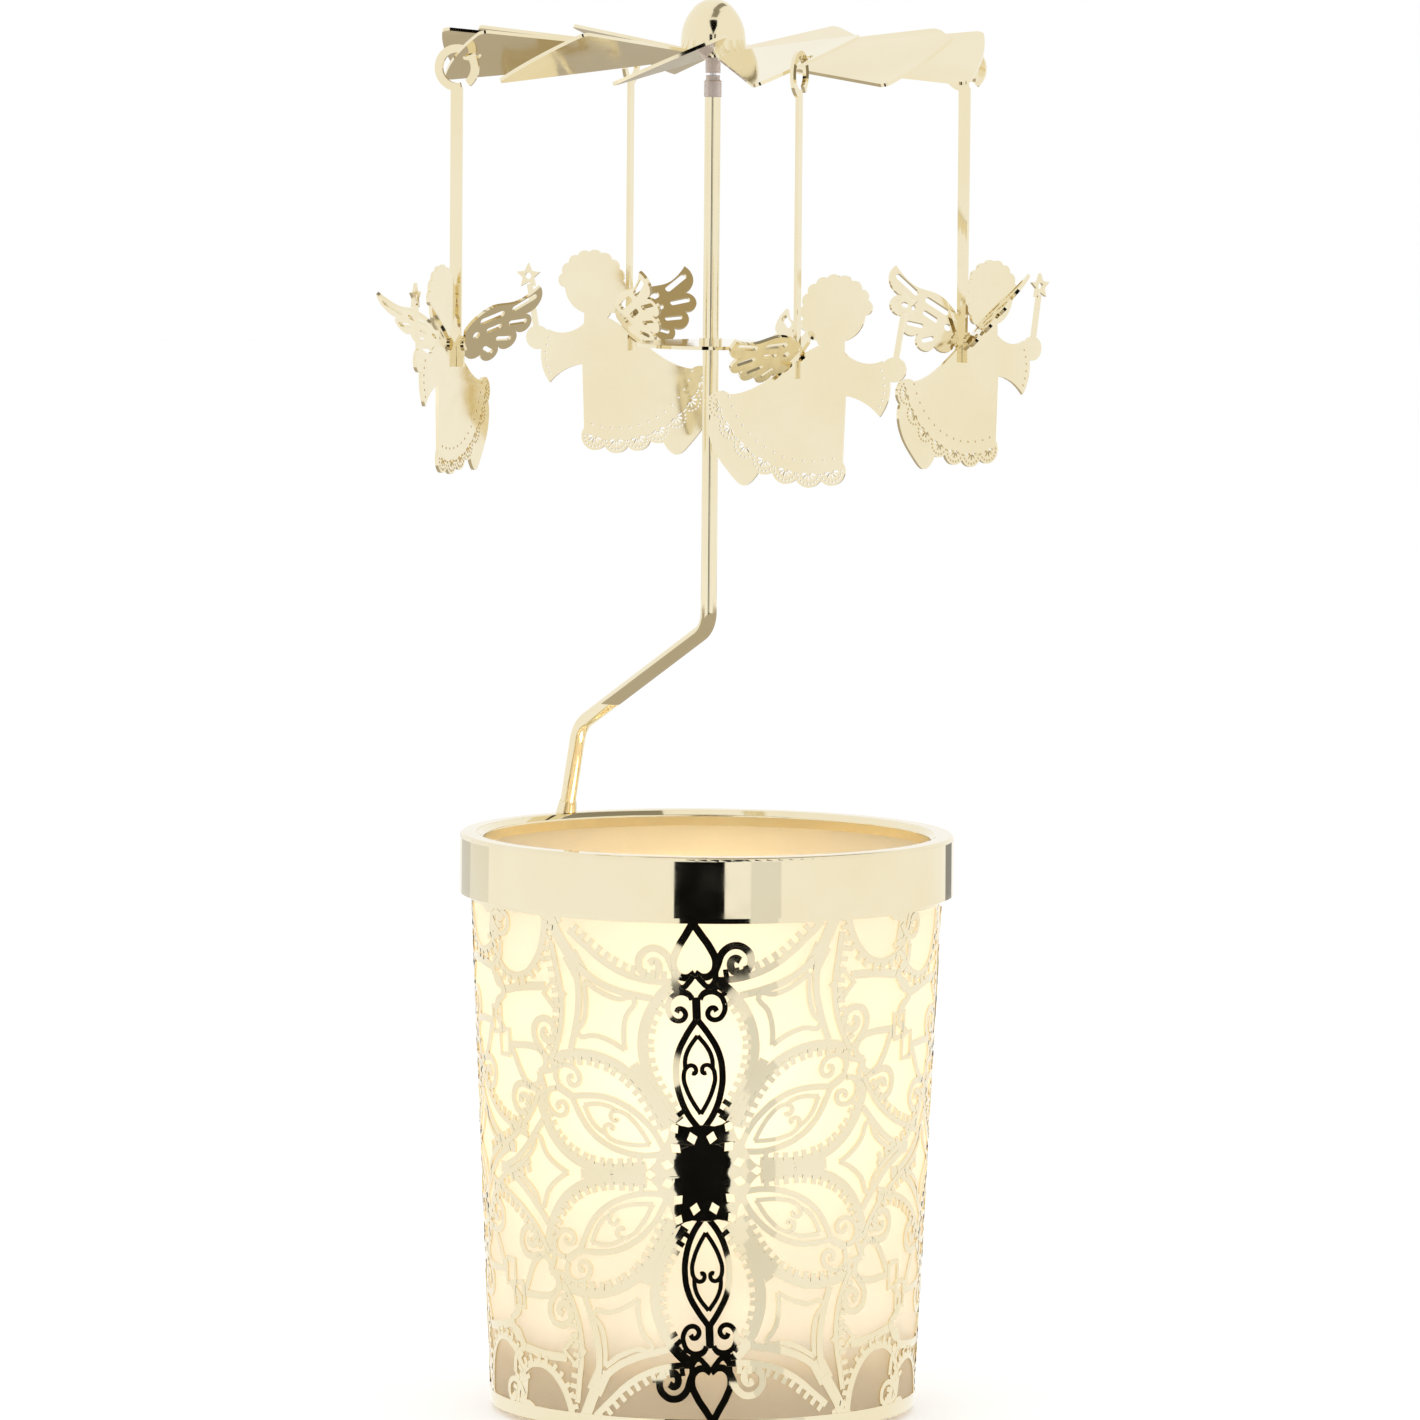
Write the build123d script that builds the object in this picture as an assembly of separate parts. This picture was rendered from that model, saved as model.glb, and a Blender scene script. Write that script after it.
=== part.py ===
from build123d import *
import math
import os

# Angel chime carousel: a tealight tumbler in a pierced sleeve, with a bladed rotor on a bent wire post.
# Millimetres. The origin is the middle of the tumbler's underside, +Z is up and the front faces -Y.

# Glass tumbler
GLASS_HEIGHT = 82.3
GLASS_FOOT_R = 30.25
GLASS_TAPER = 0.045  # growth of the radius for each millimetre of height
GLASS_WALL = 1.2
GLASS_FLOOR = 8.0
FOOT_ROUND = 3.0
FLOOR_ROUND = 4.0
RIM_ROUND = 0.5

# Pierced sleeve round the tumbler
SLEEVE_GAP = 0.05
SLEEVE_SHEET = 0.4
SLEEVE_BOTTOM = 1.0
SLEEVE_UNDER_RING = 2.5  # how far the sleeve reaches up inside the skirt of the ring
ROSETTES = 3
ROSETTE_FRONT = 269.8  # azimuth of the first rosette, degrees
PATTERN_HEIGHT = 72.9  # height of the sleeve that the windows below are drawn for
ROSETTE_RISE = 35.7
ROSETTE_LEAN = 2.7  # degrees
PETALS = 6
ALMOND_START = 8.6
ALMOND_WAIST = 14.2
ALMOND_END = 20.6
ALMOND_HALF = 2.1
FRAME_BAR = 0.8
CELL_HALF = 6.6
CELL_END = 1.7  # half width of the petal where the windows beside its frame run out
SPADE_START = 27.6
SPADE_END = 33.0
SPADE_HALF = 2.1
STAR_INNER = 17.6
STAR_OUTER = 29.6
STAR_HALF = 4.6
LEAF_TURN = 14.0  # degrees from the petal to the open leaf on either side of its tip
LEAF_START = 25.0
LEAF_END = 34.0
LEAF_HALF = 2.4
CORNER_RISE = 27.5
CORNER_SPAN = 19.0
CORNER_HALF = 4.6
EYE_RING_R = 5.4
EYE_SIZE = 0.8
EYES = 12
CUT_REACH = 3.0

# Collar ring on the rim of the glass
RING_WALL = 0.5
RING_ROOM = 1.05  # room for the sleeve between the glass and the skirt of the ring
RING_SKIRT = 8.6
LIP_THICK = 1.0
LIP_WIDTH = 2.5
LIP_SLOPE = 0.8
LIP_ROUND = 0.6
INNER_SKIRT = 1.5
RING_FIT = 0.2

# Wire post
WIRE_R = 1.15
POST_AZIMUTH = 127.0
SOCKET_DEPTH = 0.5
KNEE_R = 31.1
KNEE_RISE = 13.0
ELBOW_RISE = 29.5
POST_RISE = 105.4
KNEE_BEND = 5.0
ELBOW_BEND = 3.6
FOOT_COLLAR_R = 1.6
FOOT_COLLAR_HEIGHT = 1.8
FOOT_COLLAR_CONE = 0.35

# Plate and eyelet part way up the post
DISC_RISE = 69.8
DISC_R = 10.7
DISC_SHEET = 0.5
EYELET_WALL = 0.5
EYELET_FLANGE = 0.7
EYELET_FLANGE_THICK = 0.4
EYELET_STAND = 0.7

# Needle pivot
NEEDLE_R = 0.45
NEEDLE_SEAT = 6.0
NEEDLE_RISE = 10.7
NEEDLE_POINT = 1.6
NEEDLE_TIP_R = 0.05
BUSH_LENGTH = 3.1
BUSH_WALL = 0.8
BUSH_NECK = 0.9
BUSH_NECK_STEP = 0.25
RUN_GAP = 0.3
TUBE_CLEARANCE = 0.08
TUBE_WALL = 0.55
TUBE_CAP = 0.8
TIP_GAP = 0.05
TUBE_FLANGE = 0.8
TUBE_FLANGE_THICK = 0.5

# Rotor
HUB_DROP = 4.5  # needle tip down to the top of the hub
ROTOR_R = 38.75
ROTOR_SHEET = 0.5
BLADES = 12
FIRST_BLADE = 20.5  # azimuth of the middle of the first blade, degrees
BLADE_HALF_ANGLE = 13.2
BLADE_PITCH = 23.5
BLADE_CORNER = 1.2
HUB_MARGIN = 1.0
NECK_LENGTH = 1.2
NECK_WIDTH = 2.2
DOME_R = 4.6
DOME_WALL = 0.5
DOME_HEAD = 1.9
DOME_TAPER = 3.6  # height of the part that leans in
DOME_TIP_R = 1.9
DOME_SIDE_ROUND = 6.5
DOME_TIP_ROUND = 3.6
HOOK_HOLE_R = 1.35
HOOK_BRIDGE = 1.0

# Hanging angels: turn of the hook from the radius, extra twist of the strip, side of the hook's gap
# (+1 is outwards), then sweep and lift in degrees of the outer and of the inner wing
PENDANTS = (
    (-45.0, -22.0, 1, (28.0, 16.0), (64.0, -12.0)),
    (-40.0, 0.0, -1, (44.0, -12.0), (48.0, -14.0)),
    (-40.0, 0.0, -1, (30.0, -12.0), (50.0, -20.0)),
    (-40.0, 0.0, -1, (20.0, -28.0), (36.0, -24.0)),
)
WING_TILT = 45.0  # degrees that the folds of the wings lean forwards, along the angel's back
PLATE = 0.5
LOOP_R = 3.3
LOOP_BAND = 1.15
LOOP_DROP = 1.2
LOOP_GAP_FROM = -76.0  # degrees, seen with the gap on the right
LOOP_GAP_TO = -52.0
STRIP_WIDTH = 1.7
TWIST_STEPS = 4  # straight pieces that make up a twisted strip
HANG_LENGTH = 39.1
ROOT_HALF = 1.3
ROOT_TOP = 1.2
ROOT_BOTTOM = -3.2
LAP = -1.7  # height where the slot of the angel meets the slot of the wings
LAP_FIT = 0.05

# Outline of one wing, from its fold outwards and upwards
WING_LEADING = (
    (0.0, 2.2),
    (1.4, 3.6),
    (2.9, 4.4),
    (4.9, 4.9),
    (6.8, 4.6),
    (8.6, 4.3),
    (10.6, 4.7),
    (12.6, 5.7),
)
WING_FEATHERS = (
    ((12.8, 3.5), (10.1, 1.9)),
    ((11.3, 0.2), (8.6, -0.5)),
    ((8.6, -2.3), (5.7, -2.2)),
    ((5.0, -3.9), (2.7, -2.6)),
    ((1.2, -2.8), (0.0, -1.6)),
)
WING_SLOTS = (
    ((7.9, 3.3), (12.0, 4.4), 0.9),
    ((7.4, 1.2), (10.5, 0.6), 0.8),
    ((5.3, -0.7), (7.9, -1.5), 0.7),
    ((3.2, -1.5), (4.8, -2.9), 0.7),
    ((2.5, 3.0), (6.6, 3.3), 1.0),
    ((3.6, 1.1), (6.2, 1.3), 0.8),
)
WING_EYE = (1.9, 1.0)
WING_EYE_R = 0.55
KNUCKLE_R = 0.9  # round tab that joins a wing to the root plate

# Outline of the angel: forwards along its flight and upwards, from the foot of the hanger strip
HEAD_AT = (5.8, 6.2)
HEAD_R = 4.2
CURL_R = 1.1
CURLS = 12
CURL_FROM = 10.0
CURL_TO = 245.0
NECK = ((3.0, 0.2), (7.0, 0.2), (6.9, 3.2), (4.0, 3.2))
BACK_LINE = ((3.2, 1.5), (0.0, -0.4), (-4.9, -3.9), (-11.8, -5.4))
HEM_CENTRE = (2.0, -2.2)
HEM_R = 14.1
HEM_FROM = -166.0
HEM_TO = -70.0
SCALLOPS = 7
SCALLOP_R = 2.05
SHOULDER = (7.0, 0.6)
ARMPIT = (7.2, -5.4)
ARM_DIP = (9.4, -0.7)
CUFF_TOP = (12.6, -0.4)
CUFF_BULGE = (13.7, -4.2)
CUFF_TIP = (12.3, -8.2)
SLEEVE_UNDERSIDE = (10.0, -6.3)
HAND_AT = (14.3, -1.6)
HAND_R = 1.75
WAND_TOP = (15.6, 6.2)
WAND_WIDTH = 0.75
STAR_AT = (15.8, 7.4)
STAR_R = 1.9
STAR_WAIST = 0.9
STAR_POINTS = 5
LEG = (
    (-10.6, -6.8),
    (-12.9, -10.2),
    (-12.0, -13.6),
    (-9.6, -16.8),
    (-7.6, -18.3),
    (-6.0, -17.2),
    (-5.2, -13.6),
)
LACE_HOLES = 9
LACE_R = 0.17
LACE_ARC = 1.58
LACE_FAN = 160.0  # degrees that the holes of one scallop spread over
LACE_SLITS = 5
LACE_SLIT = (0.85, 0.28)
LACE_SLIT_AT = 0.72
SLIT_FAN = 152.0  # degrees that the slits of one scallop spread over
LACE_INSET = 1.6
BEAD_TURN = 3.4  # degrees along the hem between a scallop's middle and its two inner beads
LACE_EYE_R = 0.5
CUFF_HOLES = 6
CUFF_INSET = 0.75

# Tealight
CUP_R = 19.0
CUP_HEIGHT = 15.0
CUP_WALL = 0.4
CUP_BEAD_R = 0.55
WAX_FILL = 11.6
WICK_R = 0.6
WICK_RISE = 4.5
SUSTAINER_R = 5.0
SUSTAINER_SHEET = 0.4
SUSTAINER_NECK = 2.5
SUSTAINER_NECK_WALL = 0.35

# Solids drawn upwards or downwards from where they are placed
UPWARDS = (Align.CENTER, Align.CENTER, Align.MIN)
DOWNWARDS = (Align.CENTER, Align.CENTER, Align.MAX)

# Heights and radii that follow from the sizes above
GLASS_RIM_R = GLASS_FOOT_R + GLASS_TAPER * GLASS_HEIGHT
RING_R = GLASS_RIM_R + RING_ROOM + RING_WALL
RING_TOP = GLASS_HEIGHT + LIP_THICK
RING_BOTTOM = RING_TOP - RING_SKIRT
SLEEVE_TOP = RING_BOTTOM + SLEEVE_UNDER_RING
PATTERN_SCALE = (SLEEVE_TOP - SLEEVE_BOTTOM) / PATTERN_HEIGHT
ROSETTE_Z = SLEEVE_BOTTOM + ROSETTE_RISE * PATTERN_SCALE
PATTERN_R = GLASS_FOOT_R + GLASS_TAPER * ROSETTE_Z + SLEEVE_GAP + SLEEVE_SHEET
FOOT_AXIS_R = RING_R - LIP_WIDTH / 2
DISC_Z = RING_TOP + DISC_RISE
POST_TOP = RING_TOP + POST_RISE
TIP_Z = POST_TOP + NEEDLE_RISE
HUB_TOP = TIP_Z - HUB_DROP
HUB_MIDDLE = HUB_TOP - ROTOR_SHEET / 2
TUBE_BORE_R = NEEDLE_R + TUBE_CLEARANCE
TUBE_R = TUBE_BORE_R + TUBE_WALL
TUBE_TOP = TIP_Z + TIP_GAP + TUBE_CAP
HUB_R = DOME_R + HUB_MARGIN
HOOK_HOLE_AT = ROTOR_R - HOOK_BRIDGE - HOOK_HOLE_R
LOOP_MIDDLE_R = LOOP_R - LOOP_BAND / 2
CUP_FLOOR = GLASS_FLOOR + CUP_WALL
WICK_FOOT = CUP_FLOOR + SUSTAINER_SHEET


def glass_outer_r(z):
    """Outer radius of the tumbler at a height."""
    return GLASS_FOOT_R + GLASS_TAPER * z


def polar(radius, degrees, centre=(0.0, 0.0)):
    """Point on a circle in a flat sketch."""
    turn = math.radians(degrees)
    return (centre[0] + radius * math.cos(turn), centre[1] + radius * math.sin(turn))


def lathe(points, rounds):
    """Solid of revolution about Z from (radius, height) corners with their roundings."""
    outline = FilletPolyline(*points, radius=rounds, close=True)
    return revolve(Plane.XZ * make_face(outline), Axis.Z)


def disc(radius, z_from, z_to):
    """Upright cylinder between two heights."""
    return Pos(0, 0, z_from) * Cylinder(radius, z_to - z_from, align=UPWARDS)


def plate(face, thickness):
    """Sheet of a given thickness, half on each side of its face."""
    return extrude(face, thickness / 2, both=True)


def glass_tumbler():
    floor_r = glass_outer_r(GLASS_FLOOR) - GLASS_WALL
    points = (
        (0, 0),
        (GLASS_FOOT_R, 0),
        (GLASS_RIM_R, GLASS_HEIGHT),
        (GLASS_RIM_R - GLASS_WALL, GLASS_HEIGHT),
        (floor_r, GLASS_FLOOR),
        (0, GLASS_FLOOR),
    )
    return lathe(points, (0, FOOT_ROUND, RIM_ROUND, RIM_ROUND, FLOOR_ROUND, 0))


def lens(start, end, half):
    """Pointed oval window along a petal."""
    middle = (start + end) / 2
    edges = [
        ThreePointArc((start, 0), (middle, half), (end, 0)),
        ThreePointArc((end, 0), (middle, -half), (start, 0)),
    ]
    return make_face(edges)


def crescent(side):
    """Window between the almond frame of a petal and the lace band beside it."""
    inner = ALMOND_HALF + FRAME_BAR
    middle = (ALMOND_START + ALMOND_END) / 2
    low = (ALMOND_START, side * CELL_END)
    high = (ALMOND_END, side * CELL_END)
    edges = [
        ThreePointArc(low, (middle, side * inner), high),
        ThreePointArc(high, (middle, side * CELL_HALF), low),
    ]
    return make_face(edges)


def hollow_star():
    """Four-sided window with hollow sides, between two petals."""
    centre = Vector((STAR_INNER + STAR_OUTER) / 2, 0)
    corners = [
        Vector(STAR_INNER, 0),
        centre - Vector(0, STAR_HALF),
        Vector(STAR_OUTER, 0),
        centre + Vector(0, STAR_HALF),
    ]
    edges = []
    for first, second in zip(corners, corners[1:] + corners[:1]):
        edges.append(ThreePointArc(first, (first + second + centre) / 3, second))
    return make_face(edges)


def eye():
    """Small diamond window in the ring round the middle of a rosette."""
    side = EYE_SIZE * math.sqrt(2)
    return Pos(EYE_RING_R, 0) * Rectangle(side, side, rotation=45)


def rosette_windows():
    """Windows of one rosette as (flat face, angle of its axis)."""
    windows = []
    for k in range(PETALS):
        petal = 90.0 + 360.0 / PETALS * k
        between = petal + 180.0 / PETALS
        windows.append((lens(ALMOND_START, ALMOND_WAIST, ALMOND_HALF), petal))
        windows.append((lens(ALMOND_WAIST + FRAME_BAR, ALMOND_END, ALMOND_HALF), petal))
        for side in (-1, 1):
            windows.append((crescent(side), petal))
            windows.append((lens(LEAF_START, LEAF_END, LEAF_HALF), petal + side * LEAF_TURN))
        windows.append((lens(SPADE_START, SPADE_END, SPADE_HALF), petal))
        windows.append((hollow_star(), between))
    for k in range(EYES):
        windows.append((eye(), 360.0 / EYES * (k + 0.5)))
    half_pitch = math.pi * PATTERN_R / ROSETTES / PATTERN_SCALE
    corner = lens(half_pitch - CORNER_SPAN / 2, half_pitch + CORNER_SPAN / 2, CORNER_HALF)
    windows.append((Pos(0, CORNER_RISE) * corner, 0.0))
    windows.append((Pos(0, -CORNER_RISE) * corner, 0.0))
    return windows


def filigree_sleeve():
    """Tapered sheet with its windows cut square to the sheet."""
    inner_low = glass_outer_r(SLEEVE_BOTTOM) + SLEEVE_GAP
    inner_high = glass_outer_r(SLEEVE_TOP) + SLEEVE_GAP
    wall = Polyline(
        (inner_low, SLEEVE_BOTTOM),
        (inner_low + SLEEVE_SHEET, SLEEVE_BOTTOM),
        (inner_high + SLEEVE_SHEET, SLEEVE_TOP),
        (inner_high, SLEEVE_TOP),
        close=True,
    )
    shell = revolve(Plane.XZ * make_face(wall), Axis.Z)
    cutters = []
    for drawn, angle in rosette_windows():
        face = scale(drawn, PATTERN_SCALE)
        middle = face.center()
        lean = math.radians(angle + ROSETTE_LEAN)
        along = middle.X * math.cos(lean) - middle.Y * math.sin(lean)
        up = middle.X * math.sin(lean) + middle.Y * math.cos(lean)
        at = Pos(-middle.X, -middle.Y) * face
        for k in range(ROSETTES):
            azimuth = ROSETTE_FRONT + 360.0 / ROSETTES * k + math.degrees(along / PATTERN_R)
            out = polar(1, azimuth)
            side = polar(1, azimuth + 90)
            radius = glass_outer_r(ROSETTE_Z + up)
            turned = Vector(
                math.cos(lean) * side[0],
                math.cos(lean) * side[1],
                math.sin(lean),
            )
            tangent = Plane(
                origin=(radius * out[0], radius * out[1], ROSETTE_Z + up),
                x_dir=turned,
                z_dir=(out[0], out[1], 0),
            )
            cutters.append(extrude(tangent * at, CUT_REACH, both=True))
    return shell - cutters


def post_path():
    """Middle line of the wire, from inside the ring's lip to its top end."""
    foot = Vector(*polar(FOOT_AXIS_R, POST_AZIMUTH), RING_TOP)
    knee = Vector(*polar(KNEE_R, POST_AZIMUTH), RING_TOP + KNEE_RISE)
    elbow = Vector(0, 0, RING_TOP + ELBOW_RISE)
    start = foot - (knee - foot).normalized() * SOCKET_DEPTH
    return FilletPolyline(start, knee, elbow, Vector(0, 0, POST_TOP), radius=(KNEE_BEND, ELBOW_BEND))


def wire():
    path = post_path()
    section = Plane(origin=path @ 0, z_dir=path % 0) * Circle(WIRE_R)
    return sweep(section, path)


def post():
    return wire() - disc(NEEDLE_R, POST_TOP - NEEDLE_SEAT, POST_TOP + NEEDLE_R)


def collar_ring():
    inner_r = GLASS_RIM_R - GLASS_WALL - RING_FIT
    points = (
        (RING_R, RING_BOTTOM),
        (RING_R, RING_TOP),
        (RING_R - LIP_WIDTH, RING_TOP),
        (inner_r - RING_WALL, RING_TOP - LIP_SLOPE),
        (inner_r - RING_WALL, RING_TOP - LIP_SLOPE - INNER_SKIRT),
        (inner_r, RING_TOP - LIP_SLOPE - INNER_SKIRT),
        (inner_r, GLASS_HEIGHT),
        (RING_R - RING_WALL, GLASS_HEIGHT),
        (RING_R - RING_WALL, RING_BOTTOM),
    )
    rounds = (0, LIP_ROUND, LIP_ROUND, LIP_ROUND / 2, 0, 0, 0, 0, 0)
    return lathe(points, rounds) - wire()


def post_foot():
    """Solder collar round the foot of the wire, flat on the lip of the ring."""
    path = post_path()
    leaning = Plane(origin=path @ 0, z_dir=path % 0)
    length = SOCKET_DEPTH + FOOT_COLLAR_HEIGHT
    top_r = FOOT_COLLAR_R - FOOT_COLLAR_CONE
    cone = leaning * Cone(FOOT_COLLAR_R, top_r, length, align=UPWARDS)
    return split(cone, bisect_by=Plane.XY.offset(RING_TOP), keep=Keep.TOP) - wire()


def disc_eyelet():
    barrel_r = WIRE_R + EYELET_WALL
    barrel_top = DISC_Z + DISC_SHEET + EYELET_STAND
    flange = disc(barrel_r + EYELET_FLANGE, DISC_Z - EYELET_FLANGE_THICK, DISC_Z)
    bore = disc(WIRE_R, DISC_Z - EYELET_FLANGE_THICK, barrel_top)
    return flange + disc(barrel_r, DISC_Z, barrel_top) - bore


def post_disc():
    top = DISC_Z + DISC_SHEET
    return disc(DISC_R, DISC_Z, top) - disc(WIRE_R + EYELET_WALL, DISC_Z, top)


def needle_bush():
    """Clear bush on the end of the wire, waisted at its top."""
    outer = NEEDLE_R + BUSH_WALL
    top = POST_TOP + BUSH_LENGTH
    neck_r = outer - BUSH_NECK_STEP
    points = (
        (NEEDLE_R, POST_TOP),
        (outer, POST_TOP),
        (outer, top - BUSH_NECK),
        (neck_r, top - BUSH_NECK + BUSH_NECK_STEP),
        (neck_r, top),
        (NEEDLE_R, top),
    )
    return lathe(points, (0, 0, 0, 0, 0, 0))


def pivot_needle():
    shaft = disc(NEEDLE_R, POST_TOP - NEEDLE_SEAT, TIP_Z - NEEDLE_POINT)
    point = Cone(NEEDLE_R, NEEDLE_TIP_R, NEEDLE_POINT, align=UPWARDS)
    return shaft + Pos(0, 0, TIP_Z - NEEDLE_POINT) * point


def bearing_tube():
    """Clear tube with a closed top that rides on the needle, with a flange on the hub."""
    bottom = POST_TOP + BUSH_LENGTH + RUN_GAP
    body = disc(TUBE_R, bottom, TUBE_TOP)
    flange = disc(TUBE_R + TUBE_FLANGE, HUB_TOP, HUB_TOP + TUBE_FLANGE_THICK)
    return body + flange - disc(TUBE_BORE_R, bottom, TIP_Z + TIP_GAP)


def blade_face():
    """Flat blade along X, with rounded corners at the rim."""
    root_r = HUB_R + NECK_LENGTH
    root_low = polar(root_r, -BLADE_HALF_ANGLE)
    root_high = polar(root_r, BLADE_HALF_ANGLE)
    rim_low = polar(ROTOR_R, -BLADE_HALF_ANGLE)
    rim_high = polar(ROTOR_R, BLADE_HALF_ANGLE)
    edges = [
        Line(root_low, rim_low),
        ThreePointArc(rim_low, (ROTOR_R, 0), rim_high),
        Line(rim_high, root_high),
        Line(root_high, root_low),
    ]
    face = make_face(edges)
    corners = face.vertices().sort_by(Axis.X)[-2:]
    face = fillet(corners, BLADE_CORNER)
    neck_from = HUB_R - HUB_MARGIN
    neck_length = NECK_LENGTH + 2 * HUB_MARGIN
    neck = Pos(neck_from + neck_length / 2, 0) * Rectangle(neck_length, NECK_WIDTH)
    return face + neck


def carries_pendant(k):
    """True for the blades that carry a hook, evenly spread round the rotor."""
    return k % (BLADES // len(PENDANTS)) == 0


def impeller():
    rotor = disc(HUB_R, HUB_TOP - ROTOR_SHEET, HUB_TOP) - disc(TUBE_R, HUB_TOP - ROTOR_SHEET, HUB_TOP)
    blade = plate(blade_face(), ROTOR_SHEET)
    hole = Pos(HOOK_HOLE_AT, 0, 0) * Cylinder(HOOK_HOLE_R, 2 * ROTOR_SHEET)
    pierced = blade - hole
    blades = []
    for k in range(BLADES):
        turn = FIRST_BLADE + 360.0 / BLADES * k
        one = pierced if carries_pendant(k) else blade
        blades.append(Pos(0, 0, HUB_MIDDLE) * Rot(0, 0, turn) * Rot(BLADE_PITCH, 0, 0) * one)
    return rotor + blades


def dome_cap():
    """Bullet-shaped shell that stands on the hub, over the bearing tube."""
    top = TUBE_TOP + DOME_HEAD + DOME_WALL
    bend = top - DOME_TAPER
    lean = math.atan2(DOME_R - DOME_TIP_R, DOME_TAPER)
    inner_bend = bend - DOME_WALL * math.tan(lean / 2)
    inner_tip_r = DOME_TIP_R - DOME_WALL * math.tan(math.pi / 4 - lean / 2)
    inner_r = DOME_R - DOME_WALL
    outside = ((DOME_R, HUB_TOP), (DOME_R, bend), (DOME_TIP_R, top), (0, top))
    inside = ((0, top - DOME_WALL), (inner_tip_r, top - DOME_WALL), (inner_r, inner_bend), (inner_r, HUB_TOP))
    inner_rounds = (0, DOME_TIP_ROUND - DOME_WALL, DOME_SIDE_ROUND - DOME_WALL, 0)
    return lathe(outside + inside, (0, DOME_SIDE_ROUND, DOME_TIP_ROUND, 0) + inner_rounds)


def loop_place(k):
    """Where pendant k hangs: the middle of its loop, and the azimuth of the plane of the loop."""
    hook_turn = PENDANTS[k][0]
    azimuth = FIRST_BLADE + 360.0 / len(PENDANTS) * k
    turn = math.radians(hook_turn)
    rim = (HOOK_BRIDGE + HOOK_HOLE_R) / math.cos(turn)
    reach = (HOOK_HOLE_R + rim) / 2
    across = reach * math.sin(turn)
    outwards = HOOK_HOLE_AT + reach * math.cos(turn)
    z = HUB_MIDDLE + across * math.tan(math.radians(BLADE_PITCH)) - LOOP_DROP
    return Rot(0, 0, azimuth) * Pos(outwards, across, z) * Rot(0, 0, hook_turn)


def hook_ring(side):
    """Flat open ring in the XZ plane, with its gap beside the strip."""
    ring = Circle(LOOP_R) - Circle(LOOP_R - LOOP_BAND)
    reach = 2 * LOOP_R
    gap = Polygon((0, 0), polar(reach, LOOP_GAP_FROM), polar(reach, LOOP_GAP_TO), align=None)
    open_ring = ring - gap
    if side < 0:
        open_ring = mirror(open_ring, Plane.YZ)
    return plate(Plane.XZ * open_ring, PLATE)


def hanger_strip(twist):
    """Strip from the loop down to the root of the wings, turned about its length by the twist."""
    top = -LOOP_MIDDLE_R
    bottom = -HANG_LENGTH + ROOT_TOP
    if not twist:
        return Pos(0, 0, (top + bottom) / 2) * Box(STRIP_WIDTH, PLATE, top - bottom)
    sections = []
    for step in range(TWIST_STEPS + 1):
        share = step / TWIST_STEPS
        z = top + (bottom - top) * share
        sections.append(Pos(0, 0, z) * Rot(0, 0, twist * share) * Rectangle(STRIP_WIDTH, PLATE))
    return loft(sections)


def wing_face():
    """Flat outline of one wing with its feather slots."""
    edges = [Spline(*WING_LEADING)]
    start = WING_LEADING[-1]
    for tip, notch in WING_FEATHERS:
        edges.append(ThreePointArc(start, tip, notch))
        start = notch
    edges.append(Line(start, WING_LEADING[0]))
    face = make_face(edges)
    slots = [Pos(*WING_EYE) * Circle(WING_EYE_R)]
    for first, second, width in WING_SLOTS:
        dx, dy = second[0] - first[0], second[1] - first[1]
        slot = SlotOverall(math.hypot(dx, dy), width, rotation=math.degrees(math.atan2(dy, dx)))
        slots.append(Pos((first[0] + second[0]) / 2, (first[1] + second[1]) / 2) * slot)
    return face - slots


def wing(flat, side, sweep_back, lift):
    """One wing sheet on its knuckle, folded back about a line that leans along the angel's back."""
    raised = Rot(0, -lift, 0) * flat
    if side < 0:
        raised = mirror(raised, Plane.YZ)
    knuckle = Rot(0, 90, 0) * Cylinder(KNUCKLE_R, PLATE)
    swept = Rot(0, 0, -side * sweep_back) * raised
    return Pos(side * ROOT_HALF, 0, 0) * (Rot(-WING_TILT, 0, 0) * swept + knuckle)


def wing_root():
    """Plate between the wings, with the slot for the angel."""
    root = Pos(0, 0, (ROOT_TOP + ROOT_BOTTOM) / 2) * Box(2 * ROOT_HALF, PLATE, ROOT_TOP - ROOT_BOTTOM)
    slot = Pos(0, 0, LAP) * Box(PLATE + 2 * LAP_FIT, 2 * PLATE, LAP - ROOT_BOTTOM, align=DOWNWARDS)
    return root - slot


def wing_hanger(k, flat_wing):
    """Hook, strip and folded wings of pendant k, one sheet."""
    twist, gap_side, outer_wing, inner_wing = PENDANTS[k][1:]
    upper = hook_ring(gap_side) + hanger_strip(twist)
    wings = [wing(flat_wing, 1, *outer_wing), wing(flat_wing, -1, *inner_wing)]
    return loop_place(k) * upper + angel_place(k) * (wing_root() + wings)


def star_face():
    points = []
    for k in range(2 * STAR_POINTS):
        radius = STAR_WAIST if k % 2 else STAR_R
        points.append(polar(radius, 90.0 + 180.0 / STAR_POINTS * k, STAR_AT))
    return make_face(Polyline(*points, close=True))


def hem_angle(k):
    return HEM_FROM + (HEM_TO - HEM_FROM) * (k + 0.5) / SCALLOPS


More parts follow.
